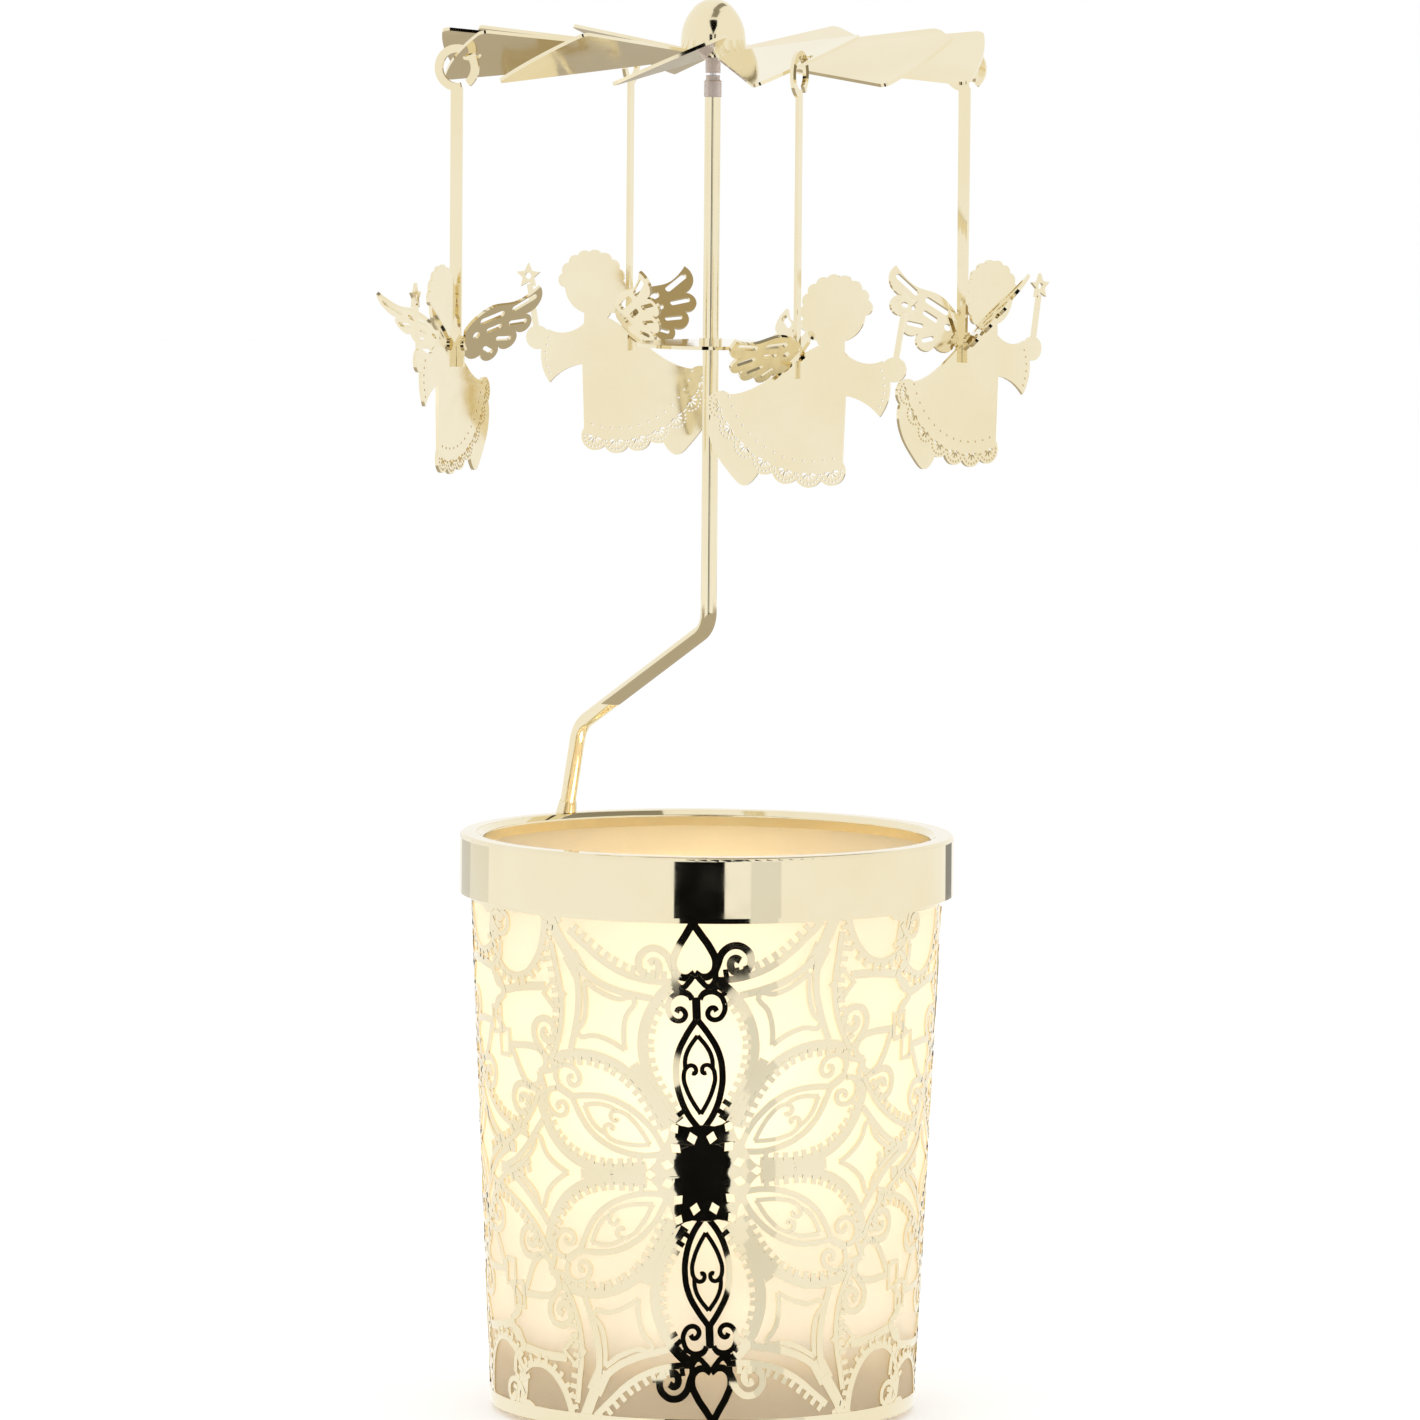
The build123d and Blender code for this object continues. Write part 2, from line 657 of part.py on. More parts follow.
def angel_outline():
    """Solid silhouette of the angel, without its lace holes."""
    hem_back = polar(HEM_R, HEM_FROM, HEM_CENTRE)
    hem_middle = polar(HEM_R, (HEM_FROM + HEM_TO) / 2, HEM_CENTRE)
    hem_front = polar(HEM_R, HEM_TO, HEM_CENTRE)
    dress = make_face([
        Spline(*BACK_LINE[:-1], hem_back),
        ThreePointArc(hem_back, hem_middle, hem_front),
        Line(hem_front, ARMPIT),
        Line(ARMPIT, SHOULDER),
        Line(SHOULDER, BACK_LINE[0]),
    ])
    arm = make_face([
        ThreePointArc(SHOULDER, ARM_DIP, CUFF_TOP),
        ThreePointArc(CUFF_TOP, CUFF_BULGE, CUFF_TIP),
        ThreePointArc(CUFF_TIP, SLEEVE_UNDERSIDE, ARMPIT),
        Line(ARMPIT, SHOULDER),
    ])
    leg = make_face([Spline(*LEG), Line(LEG[-1], LEG[0])])
    head = [Pos(*HEAD_AT) * Circle(HEAD_R), make_face(Polyline(*NECK, close=True))]
    for k in range(CURLS):
        angle = CURL_FROM + (CURL_TO - CURL_FROM) * k / (CURLS - 1)
        head.append(Pos(*polar(HEAD_R, angle, HEAD_AT)) * Circle(CURL_R))
    hem = [Pos(*polar(HEM_R, hem_angle(k), HEM_CENTRE)) * Circle(SCALLOP_R) for k in range(SCALLOPS)]
    dx, dy = WAND_TOP[0] - HAND_AT[0], WAND_TOP[1] - HAND_AT[1]
    stick = Rectangle(math.hypot(dx, dy), WAND_WIDTH, rotation=math.degrees(math.atan2(dy, dx)))
    wand = Pos((WAND_TOP[0] + HAND_AT[0]) / 2, (WAND_TOP[1] + HAND_AT[1]) / 2) * stick
    hand = Pos(*HAND_AT) * Circle(HAND_R)
    return dress + [arm, leg, *head, *hem, hand, wand, star_face()]


def lace_holes():
    """Holes in the scallops of the hem, along the cuff and in the star."""
    holes = [Pos(*STAR_AT) * Circle(LACE_EYE_R)]
    for k in range(SCALLOPS):
        angle = hem_angle(k)
        centre = polar(HEM_R, angle, HEM_CENTRE)
        for j in range(LACE_HOLES):
            spread = angle + LACE_FAN * (j / (LACE_HOLES - 1) - 0.5)
            holes.append(Pos(*polar(LACE_ARC, spread, centre)) * Circle(LACE_R))
        for j in range(LACE_SLITS):
            spread = angle + SLIT_FAN * (j / (LACE_SLITS - 1) - 0.5)
            at = Pos(*polar(LACE_SLIT_AT, spread, centre))
            holes.append(at * SlotOverall(*LACE_SLIT, rotation=spread))
        for side in (-1, 1):
            bead = polar(HEM_R - LACE_INSET, angle + side * BEAD_TURN, HEM_CENTRE)
            holes.append(Pos(*bead) * Circle(LACE_R))
    cuff = ThreePointArc(CUFF_TOP, CUFF_BULGE, CUFF_TIP)
    for j in range(CUFF_HOLES):
        share = (j + 1) / (CUFF_HOLES + 1)
        edge, along = cuff @ share, cuff % share
        inward = Vector(along.Y, -along.X) * CUFF_INSET
        holes.append(Pos(edge.X + inward.X, edge.Y + inward.Y) * Circle(LACE_R))
    return holes


def angel_sheet():
    """Pierced angel in the YZ plane, with the slot for its wings."""
    outline = angel_outline().face()
    pierced = Face(outline.outer_wire(), [hole.wire() for hole in lace_holes()])
    slot = Pos(0, 0, LAP) * Box(2 * PLATE, PLATE + 2 * LAP_FIT, -LAP, align=UPWARDS)
    return plate(Plane.YZ * pierced, PLATE) - slot


def angel_place(k):
    """Where the angel and the wings of pendant k sit, below the loop and turned with the strip."""
    return loop_place(k) * Pos(0, 0, -HANG_LENGTH) * Rot(0, 0, PENDANTS[k][1])


def tealight_cup():
    rim_z = GLASS_FLOOR + CUP_HEIGHT
    shell = disc(CUP_R, GLASS_FLOOR, rim_z) - disc(CUP_R - CUP_WALL, CUP_FLOOR, rim_z)
    return shell + Pos(0, 0, rim_z) * Torus(CUP_R, CUP_BEAD_R)


def sustainer_solid():
    """Disc and crimped neck that hold the wick upright in the wax."""
    neck = disc(WICK_R + SUSTAINER_NECK_WALL, WICK_FOOT, WICK_FOOT + SUSTAINER_NECK)
    return disc(SUSTAINER_R, CUP_FLOOR, WICK_FOOT) + neck


def wick_solid():
    return disc(WICK_R, WICK_FOOT, CUP_FLOOR + WAX_FILL + WICK_RISE)


def wick_sustainer():
    return sustainer_solid() - wick_solid()


def tealight_wax():
    fill = disc(CUP_R - CUP_WALL, CUP_FLOOR, CUP_FLOOR + WAX_FILL)
    return fill - sustainer_solid() - wick_solid()


def main():
    pieces = {
        "glass_tumbler": glass_tumbler(),
        "filigree_sleeve": filigree_sleeve(),
        "collar_ring": collar_ring(),
        "post": post(),
        "post_foot": post_foot(),
        "post_disc": post_disc(),
        "disc_eyelet": disc_eyelet(),
        "needle_bush": needle_bush(),
        "pivot_needle": pivot_needle(),
        "bearing_tube": bearing_tube(),
        "impeller": impeller(),
        "dome_cap": dome_cap(),
        "tealight_cup": tealight_cup(),
        "tealight_wax": tealight_wax(),
        "wick_sustainer": wick_sustainer(),
        "tealight_wick": wick_solid(),
    }
    sheet = angel_sheet()
    flat_wing = plate(Plane.XZ * wing_face(), PLATE)
    for k in range(len(PENDANTS)):
        pieces[f"wing_hanger_{k + 1}"] = wing_hanger(k, flat_wing)
        pieces[f"angel_{k + 1}"] = angel_place(k) * sheet
    os.makedirs("parts", exist_ok=True)
    for name, shape in pieces.items():
        export_step(shape, f"parts/{name}.step")


main()
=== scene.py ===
import math

import bmesh
import bpy
from bpy.props import FloatProperty, FloatVectorProperty, IntProperty, PointerProperty
from bpy.types import Operator, Panel, PropertyGroup
from mathutils import Matrix, Vector


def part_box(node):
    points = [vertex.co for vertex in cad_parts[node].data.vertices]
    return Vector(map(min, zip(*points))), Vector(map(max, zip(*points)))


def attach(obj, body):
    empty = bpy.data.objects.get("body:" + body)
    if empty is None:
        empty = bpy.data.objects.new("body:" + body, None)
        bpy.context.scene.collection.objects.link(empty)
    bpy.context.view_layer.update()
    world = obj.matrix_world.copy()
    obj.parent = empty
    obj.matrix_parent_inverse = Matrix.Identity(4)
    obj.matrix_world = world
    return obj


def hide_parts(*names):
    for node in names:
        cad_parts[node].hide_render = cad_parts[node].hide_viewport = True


bl_info = {
    "name": "Angel chime carousel",
    "version": (1, 0, 0),
    "blender": (4, 5, 0),
    "location": "View3D > Sidebar > Carousel",
    "description": "Dresses the carousel tealight holder and sets its studio stage",
    "category": "Object",
}

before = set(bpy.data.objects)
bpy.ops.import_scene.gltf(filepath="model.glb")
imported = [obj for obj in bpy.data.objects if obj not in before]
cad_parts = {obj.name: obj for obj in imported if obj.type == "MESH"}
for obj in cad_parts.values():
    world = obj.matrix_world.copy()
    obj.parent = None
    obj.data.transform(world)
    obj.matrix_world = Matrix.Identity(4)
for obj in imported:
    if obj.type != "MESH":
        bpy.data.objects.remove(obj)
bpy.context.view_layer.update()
MM = 0.001

# Wire paths of one petal of the pierced sleeve, in millimetres: along the petal, then to its side.
# Each entry is (stroke width, points). Every path is drawn on both sides of the petal's middle line.
PETAL_LINES = {
    "almond": (0.85, ((5.9, 0.2), (8.2, 1.75), (11.0, 2.75), (13.6, 3.05), (16.4, 2.65), (18.8, 1.5),
                      (20.9, 0.1))),
    "heart": (0.6, ((8.1, 0.0), (9.8, 1.0), (11.6, 1.75), (13.2, 2.05), (14.5, 1.6), (14.75, 0.85),
                    (14.2, 0.4), (13.65, 0.6), (13.75, 0.95))),
    "arch": (0.6, ((14.3, 1.8), (15.6, 1.75), (17.0, 1.25), (18.8, 0.0))),
    "inner_volute": (0.7, ((23.9, 0.4), (24.6, 1.5), (24.4, 2.8), (23.2, 3.6), (21.7, 3.5), (20.85, 2.5),
                           (21.3, 1.55), (22.2, 1.6), (22.5, 2.3), (22.0, 2.6))),
    "neck": (1.1, ((20.6, 0.0), (22.4, 0.0), (24.0, 0.0))),
    "star_low": (0.75, ((23.7, 0.5), (24.5, 0.95), (25.0, 1.9), (25.9, 2.7))),
    "star_high": (0.75, ((25.9, 2.7), (25.4, 1.6), (26.0, 0.9), (26.9, 0.2))),
    "spade": (1.0, ((27.3, 0.0), (26.7, 1.0), (27.1, 2.2), (28.6, 2.75), (30.6, 2.1), (32.6, 0.9),
                    (34.1, 0.0))),
    "outer_volute": (1.0, ((26.5, 2.2), (28.2, 2.9), (30.0, 3.7), (30.8, 5.2), (30.2, 6.7), (28.8, 7.3),
                           (27.3, 6.6), (27.1, 5.3), (28.2, 4.6), (29.1, 5.2), (28.7, 5.9))),
}
LACE_BAND = (1.5, ((7.2, 2.9), (9.5, 4.6), (12.0, 6.1), (15.0, 7.1), (18.0, 7.3), (21.0, 6.6), (23.5, 5.2),
                   (25.3, 3.6), (26.3, 2.2)))
BORDER_ARC = (0.9, ((33.2, 17.2), (31.0, 14.6), (29.0, 12.2), (27.4, 9.4), (26.5, 6.6), (26.2, 4.0),
                    (26.3, 2.2)))
# Paths between two petals: outwards, then to the side.
BETWEEN_LINES = {
    "spine": (2.6, ((9.6, 0.0), (12.0, 0.0), (14.4, 0.0), (16.4, 0.0))),
    "spine_tip": (1.3, ((7.8, 0.0), (12.0, 0.0), (17.4, 0.0))),
    "inner_frame": (0.7, ((19.6, 0.0), (21.6, 1.1), (23.4, 2.7), (24.8, 4.9), (25.8, 3.1), (27.6, 1.5),
                          (30.4, 0.0))),
    "outer_frame": (1.0, ((23.6, 7.0), (25.6, 4.8), (27.6, 2.9), (29.8, 1.4), (32.6, 0.2))),
}
SIDE_LINK = (1.6, ((32.0, 0.0), (33.0, 0.0), (34.2, 0.0)))
BORDER_LINKS = (
    (2.5, ((31.0, 0.0), (32.2, 0.0), (33.6, 0.0), (34.6, 0.0))),
    (1.7, ((33.8, 0.0), (36.0, 0.1), (38.0, 0.2), (40.0, 0.1))),
    (2.9, ((38.8, 0.0), (40.4, 0.0), (43.6, 0.0))),
)
# Paths in one corner of the panel: round from the middle of the rosette, then up. Drawn in all four corners.
CORNER_LINES = {
    "petal_square": (0.8, ((29.8, 15.6), (32.2, 15.6), (32.2, 19.0), (29.8, 19.0), (29.8, 15.6))),
    "volute_square": (0.8, ((20.2, 22.6), (22.0, 24.4), (20.2, 26.2), (18.4, 24.4), (20.2, 22.6))),
    "seam_star": (0.9, ((33.3, 20.4), (32.6, 22.8), (30.4, 24.2), (32.6, 25.6), (33.3, 28.2))),
    "square_tie": (1.0, ((31.0, 18.8), (32.2, 20.0), (33.3, 20.8))),
    "star_tie": (1.2, ((21.6, 25.4), (25.6, 25.2), (30.6, 24.4))),
    "border_flare": (1.6, ((31.6, 36.4), (32.6, 34.4), (33.3, 31.6))),
    "corner_volute": (0.8, ((32.8, 34.2), (31.6, 32.6), (29.8, 32.2), (28.6, 33.4), (29.0, 34.8),
                            (30.2, 34.7), (30.4, 33.8))),
}
CORNER_ARC = (1.1, ((21.0, 34.4), (21.6, 31.6), (23.0, 28.9), (25.2, 27.0), (27.8, 26.5), (30.4, 27.4),
                    (32.2, 29.4), (33.3, 32.2)))
PETALS = 6
PETAL_STEP = 360 // PETALS
# Lace teeth, in millimetres.
TOOTH_WIDTH = 0.7
TOOTH_REACH = 0.85
TOOTH_SPACING = 1.45
TOOTH_ROOT = 0.3  # where a tooth starts, inside its strip
TOOTH_EDGE = 0.6  # edge of the strip, from its middle line
# Plate in the middle of a rosette, in millimetres and degrees.
MIDDLE_POINTS = 48
MIDDLE_RADIUS = 6.6
MIDDLE_TIP = 8.7  # reach of the six narrow tips
MIDDLE_SWELL = 1.2  # growth of the radius next to a tip
MIDDLE_SWELL_TURN = 14.0
MIDDLE_SPAN = 18.0
# Rings of diamond holes in that plate: number, angle of the first, three radii, half width.
MIDDLE_HOLES = (
    (12, 15.0, (4.1, 5.0, 5.9), 0.72),
    (6, 0.0, (6.4, 7.25, 8.1), 0.65),
)
STROKE_STEP = 0.03  # a wider stroke is thinner by this share of the sheet, so that no two faces share a plane
MIDDLE_SHARE = 0.95  # thickness of the middle plate, as a share of the sheet
LOW_BORDER = 0.002
TOP_BORDER = 0.0034
BORDER_STEPS = 120
FOLD_ANGLE = math.radians(35)  # sharper edges stay sharp in the shading
GLASS_FADE = (0.0085, 0.0135)  # heights between which the tint of the thick foot fades out

WHITE = (1.0, 1.0, 1.0)
WORLD_FILL = 0.9  # light of the background on the object
FLOOR_RADIUS = 3.0
FLOOR_TONE = (0.9, 0.9, 0.9)
FLOOR_LIFT = (0.18, 0.18, 0.18)
# Lamps: place, height that they aim at on the axis, size, watts.
LAMPS = {
    "key_left": ((-0.9, -0.7, 0.8), 0.12, (0.8, 0.9), 1.7),
    "key_right": ((0.95, -0.6, 0.7), 0.12, (0.7, 0.9), 1.2),
    "top": ((0, 0.15, 1.1), 0.1, (0.9, 0.9), 1.2),
}
# Lamps inside the glass: place, watts, colour, radius.
GLOWS = {
    "candle_glow": ((0, 0, 0.044), 0.026, (1.0, 0.93, 0.8), 0.016),
    "rim_glow": ((0, 0.012, 0.07), 0.018, (1.0, 0.77, 0.36), 0.008),
}
# Ring of small lamps in the gap between the tealight and the glass.
GAP_LAMPS = 12
GAP_RADIUS = 0.0243
GAP_HEIGHT = 0.016
GAP_POWER = 0.0005
GAP_TINT = (1.0, 0.92, 0.76)
GAP_LAMP_SIZE = 0.003

DARK_TONE = (0.004, 0.003, 0.002)
CARD_WHITE = (1.02, 1.02, 1.02)
UNDER_TONE = (0.5, 0.45, 0.37)
SEAM_TONE = (0.3, 0.28, 0.23)
STUDIO_RADIUS = 1.15
WHITE_HEIGHT = 0.0006
CARD_HEIGHT = 0.0008
UNDER_HEIGHT = 0.1
SEAM_HEIGHT = 2.2
FLAG_DISTANCE = 1.25
FLAG_LOW = 0.001
FLAG_HIGH = 0.5
FRONT_FLAGS = {"front_flag_left": (-0.3, -0.07), "front_flag_right": (0.07, 0.2)}  # left and right edge
# Cards on the studio floor: start and end in degrees to the right of the camera, near and far radius, tone.
STUDIO_CARDS = {
    "front_gap_rim": (-12.0, 10.0, 0.0, 0.046, 0.004),
    "front_gap_foot": (-20.5, 11.0, 0.046, 0.061, 0.004),
    "front_gap_low": (-13.0, 14.0, 0.061, 0.106, 0.004),
    "front_gap_middle": (-12.9, 11.0, 0.106, 0.29, 0.004),
    "front_gap_high": (-16.1, 11.0, 0.29, 0.342, 0.004),
    "front_gap_top": (-12.4, 20.5, 0.342, 0.64, 0.004),
    "front_gap_far": (-14.5, 8.2, 0.64, 1.15, 0.004),
    "side_grey": (20.0, 34.0, 0.0, 1.15, 0.84),
    "rear_dark": (146.0, 160.0, 0.68, 1.15, 0.3),
    "rear_grey": (-160.0, -142.0, 0.68, 1.15, 0.7),
    "left_grey": (-142.0, -120.0, 0.68, 1.15, 0.87),
}
# Cards between the rotor and the ring: start and end in degrees to the right of the camera, radius.
UNDER_CARDS = {
    "under_card_front": (-60.0, 60.0, 0.07),
    "under_card_right": (60.0, 180.0, 0.2),
    "under_card_back": (180.0, 208.0, 0.2),
    "under_card_short": (208.0, 245.0, 0.07),
    "under_card_left": (245.0, 300.0, 0.2),
}
UNDER_REAR = ((-0.12, 0.2), (0.12, 0.2), (0.12, 1.0), (-0.12, 1.0))
# Dark peak over the camera, to the side and up, and the seam that runs on from it overhead, seen from above.
FRONT_PEAK = ((-0.03, 0.52), (0.03, 0.52), (0.35, 1.09), (0.45, 1.75), (-0.45, 1.75), (-0.3, 1.09))
TOP_SEAM = ((-0.35, -1.25), (0.5, -1.25), (0.9, 0.0), (1.5, 1.9), (0.85, 1.9), (0.3, 0.0))
WEDGE_STEPS = 32


class FiligreeSettings(PropertyGroup):
    """Sizes of the pierced sleeve."""

    sheet: FloatProperty(name="Sheet", description="Thickness of the sleeve", default=0.00025, unit="LENGTH")
    gap: FloatProperty(name="Gap", description="Gap between glass and sleeve", default=0.00005, unit="LENGTH")
    foot_radius: FloatProperty(
        name="Foot radius", description="Radius of the glass at the table", default=0.03025, unit="LENGTH",
    )
    taper: FloatProperty(name="Taper", description="Growth of the radius with height", default=0.045)
    rosettes: IntProperty(name="Rosettes", description="Rosettes round the sleeve", default=3)
    drawn_height: FloatProperty(
        name="Drawn height", description="Height of the sleeve that its pattern is drawn for",
        default=0.0729, unit="LENGTH",
    )
    rise: FloatProperty(
        name="Rise", description="Middle of the rosettes above the foot of the drawn sleeve",
        default=0.0357, unit="LENGTH",
    )
    front: FloatProperty(
        name="Front", description="Azimuth of the first rosette",
        default=math.radians(269.8), subtype="ANGLE",
    )
    lean: FloatProperty(
        name="Lean", description="Lean of the rosettes", default=math.radians(2.7), subtype="ANGLE",
    )
    bend_step: FloatProperty(
        name="Bend step", description="Width of the flat strips round the sleeve",
        default=0.0024, unit="LENGTH",
    )


class FinishSettings(PropertyGroup):
    """Colours of the finishes."""

    gold: FloatVectorProperty(
        name="Gold", description="Champagne gold plating", subtype="COLOR", default=(0.88, 0.80, 0.59),
    )
    gold_deep: FloatVectorProperty(
        name="Deep gold", description="Where the plating is thicker",
        subtype="COLOR", default=(0.85, 0.75, 0.51),
    )
    glass: FloatVectorProperty(
        name="Glass", description="Frosted glass", subtype="COLOR", default=(0.97, 0.93, 0.85),
    )
    glass_foot: FloatVectorProperty(
        name="Glass foot", description="Thick foot of the glass", subtype="COLOR", default=(0.88, 0.78, 0.61),
    )
    wax: FloatVectorProperty(
        name="Wax", description="Candle wax", subtype="COLOR", default=(0.93, 0.90, 0.82),
    )


class StageSettings(PropertyGroup):
    """Camera placement and lens."""

    distance: FloatProperty(
        name="Distance", description="Camera distance from the axis", default=1.38, unit="LENGTH",
    )
    height: FloatProperty(name="Height", description="Camera height", default=0.2241, unit="LENGTH")
    lens: FloatProperty(name="Lens", description="Focal length", default=244.9, unit="CAMERA")
    aim: FloatProperty(
        name="Aim", description="Height that the camera looks at on the axis", default=0.1009, unit="LENGTH",
    )
    side: FloatProperty(name="Side", description="Camera offset to the right", default=0.0003, unit="LENGTH")
    roll: FloatProperty(
        name="Roll", description="Roll of the camera", default=math.radians(0.46), subtype="ANGLE",
    )


def link(obj):
    """Puts a new object into the scene."""
    bpy.context.scene.collection.objects.link(obj)
    return obj


def new_group(name, inputs, outputs):
    """Shader node group with its sockets, and its two end nodes."""
    group = bpy.data.node_groups.new(name, "ShaderNodeTree")
    for label, kind, value in inputs:
        socket = group.interface.new_socket(name=label, in_out="INPUT", socket_type=kind)
        socket.default_value = value
    for label, kind in outputs:
        group.interface.new_socket(name=label, in_out="OUTPUT", socket_type=kind)
    return group, group.nodes.new("NodeGroupInput"), group.nodes.new("NodeGroupOutput")


def wander_group():
    """Slow change of a value over the surface, between two limits."""
    group, inside, outside = new_group(
        "Surface wander",
        (
            ("Scale", "NodeSocketFloat", 200.0),
            ("Low", "NodeSocketFloat", 0.0),
            ("High", "NodeSocketFloat", 1.0),
        ),
        (("Value", "NodeSocketFloat"),),
    )
    coords = group.nodes.new("ShaderNodeTexCoord")
    noise = group.nodes.new("ShaderNodeTexNoise")
    spread = group.nodes.new("ShaderNodeMapRange")
    noise.inputs["Detail"].default_value = 4.0
    spread.inputs["From Min"].default_value = 0.3
    spread.inputs["From Max"].default_value = 0.7
    group.links.new(coords.outputs["Object"], noise.inputs["Vector"])
    group.links.new(inside.outputs["Scale"], noise.inputs["Scale"])
    group.links.new(noise.outputs["Fac"], spread.inputs["Value"])
    group.links.new(inside.outputs["Low"], spread.inputs["To Min"])
    group.links.new(inside.outputs["High"], spread.inputs["To Max"])
    group.links.new(spread.outputs["Result"], outside.inputs["Value"])
    return group


def tint_group():
    """Two tones of one finish, mixed by a slow noise."""
    group, inside, outside = new_group(
        "Two tones",
        (
            ("Scale", "NodeSocketFloat", 120.0),
            ("Light", "NodeSocketColor", (1.0, 1.0, 1.0, 1.0)),
            ("Deep", "NodeSocketColor", (0.5, 0.5, 0.5, 1.0)),
        ),
        (("Color", "NodeSocketColor"),),
    )
    wander = group.nodes.new("ShaderNodeGroup")
    wander.node_tree = bpy.data.node_groups["Surface wander"]
    mix = group.nodes.new("ShaderNodeMix")
    mix.data_type = "RGBA"
    group.links.new(inside.outputs["Scale"], wander.inputs["Scale"])
    group.links.new(wander.outputs["Value"], mix.inputs["Factor"])
    group.links.new(inside.outputs["Light"], mix.inputs["A"])
    group.links.new(inside.outputs["Deep"], mix.inputs["B"])
    group.links.new(mix.outputs["Result"], outside.inputs["Color"])
    return group


def foot_group():
    """Tint that deepens towards the foot of the glass, by height."""
    group, inside, outside = new_group(
        "Foot tint",
        (
            ("Low", "NodeSocketFloat", 0.0),
            ("High", "NodeSocketFloat", 1.0),
            ("Foot", "NodeSocketColor", (0.5, 0.5, 0.5, 1.0)),
            ("Wall", "NodeSocketColor", (1.0, 1.0, 1.0, 1.0)),
        ),
        (("Color", "NodeSocketColor"),),
    )
    coords = group.nodes.new("ShaderNodeTexCoord")
    split = group.nodes.new("ShaderNodeSeparateXYZ")
    height = group.nodes.new("ShaderNodeMapRange")
    height.interpolation_type = "SMOOTHSTEP"
    mix = group.nodes.new("ShaderNodeMix")
    mix.data_type = "RGBA"
    group.links.new(coords.outputs["Object"], split.inputs["Vector"])
    group.links.new(split.outputs["Z"], height.inputs["Value"])
    group.links.new(inside.outputs["Low"], height.inputs["From Min"])
    group.links.new(inside.outputs["High"], height.inputs["From Max"])
    group.links.new(height.outputs["Result"], mix.inputs["Factor"])
    group.links.new(inside.outputs["Foot"], mix.inputs["A"])
    group.links.new(inside.outputs["Wall"], mix.inputs["B"])
    group.links.new(mix.outputs["Result"], outside.inputs["Color"])
    return group


def new_material(name):
    """Material with its node tree and its shader."""
    material = bpy.data.materials.new(name)
    material.use_nodes = True
    return material, material.node_tree, material.node_tree.nodes["Principled BSDF"]


def add_group(tree, name, **values):
    """Node of a shared group, with its values."""
    node = tree.nodes.new("ShaderNodeGroup")
    node.node_tree = bpy.data.node_groups[name]
    for label, value in values.items():
        node.inputs[label].default_value = value
    return node


def color(rgb):
    """Opaque colour."""
    return (*rgb, 1.0)


def add_bump(tree, shader, height, strength, distance):
    """Fine relief on a shader."""
    bump = tree.nodes.new("ShaderNodeBump")
    bump.inputs["Strength"].default_value = strength
    bump.inputs["Distance"].default_value = distance
    tree.links.new(height, bump.inputs["Height"])
    tree.links.new(bump.outputs["Normal"], shader.inputs["Normal"])


def gold_material(name, low, high, wave):
    """Polished plating: two close tones, a little haze and the slight waves of pressed sheet."""
    finish = bpy.context.scene.carousel_finish
    material, tree, shader = new_material(name)
    shader.inputs["Metallic"].default_value = 1.0
    tones = add_group(tree, "Two tones", Scale=60.0, Light=color(finish.gold), Deep=color(finish.gold_deep))
    haze = add_group(tree, "Surface wander", Scale=350.0, Low=low, High=high)
    sheet = add_group(tree, "Surface wander", Scale=90.0, Low=0.0, High=1.0)
    tree.links.new(tones.outputs["Color"], shader.inputs["Base Color"])
    tree.links.new(haze.outputs["Value"], shader.inputs["Roughness"])
    add_bump(tree, shader, sheet.outputs["Value"], wave, 0.0002)
    return material


def frosted_material():
    """Frosted glass that glows with what is behind it."""
    finish = bpy.context.scene.carousel_finish
    material, tree, shader = new_material("frosted_glass")
    low, high = GLASS_FADE
    foot, wall = color(finish.glass_foot), color(finish.glass)
    tint = add_group(tree, "Foot tint", Low=low, High=high, Foot=foot, Wall=wall)
    tree.links.new(tint.outputs["Color"], shader.inputs["Base Color"])
    shader.inputs["Transmission Weight"].default_value = 0.6
    shader.inputs["IOR"].default_value = 1.45
    haze = add_group(tree, "Surface wander", Scale=500.0, Low=0.5, High=0.62)
    tree.links.new(haze.outputs["Value"], shader.inputs["Roughness"])
    grain = add_group(tree, "Surface wander", Scale=2500.0, Low=0.0, High=1.0)
    add_bump(tree, shader, grain.outputs["Value"], 0.25, 0.0001)
    glow = tree.nodes.new("ShaderNodeBsdfTranslucent")
    tree.links.new(tint.outputs["Color"], glow.inputs["Color"])
    mix = tree.nodes.new("ShaderNodeMixShader")
    mix.inputs["Fac"].default_value = 0.5
    output = tree.nodes["Material Output"]
    tree.links.new(shader.outputs["BSDF"], mix.inputs[1])
    tree.links.new(glow.outputs["BSDF"], mix.inputs[2])
    tree.links.new(mix.outputs["Shader"], output.inputs["Surface"])
    return material


def clear_material():
    """Clear moulded plastic, a little warm."""
    material, tree, shader = new_material("clear_plastic")
    shader.inputs["Base Color"].default_value = (0.86, 0.74, 0.68, 1.0)
    shader.inputs["Transmission Weight"].default_value = 0.45
    shader.inputs["IOR"].default_value = 1.47
    haze = add_group(tree, "Surface wander", Scale=900.0, Low=0.16, High=0.26)
    tree.links.new(haze.outputs["Value"], shader.inputs["Roughness"])
    return material


def plain_material(name, light, deep, metallic, low, high, scale):
    """Finish of two close tones with an uneven haze."""
    material, tree, shader = new_material(name)
    shader.inputs["Metallic"].default_value = metallic
    tones = add_group(tree, "Two tones", Scale=scale, Light=color(light), Deep=color(deep))
    haze = add_group(tree, "Surface wander", Scale=scale * 3, Low=low, High=high)
    tree.links.new(tones.outputs["Color"], shader.inputs["Base Color"])
    tree.links.new(haze.outputs["Value"], shader.inputs["Roughness"])
    add_bump(tree, shader, haze.outputs["Value"], 0.2, 0.0001)
    return material


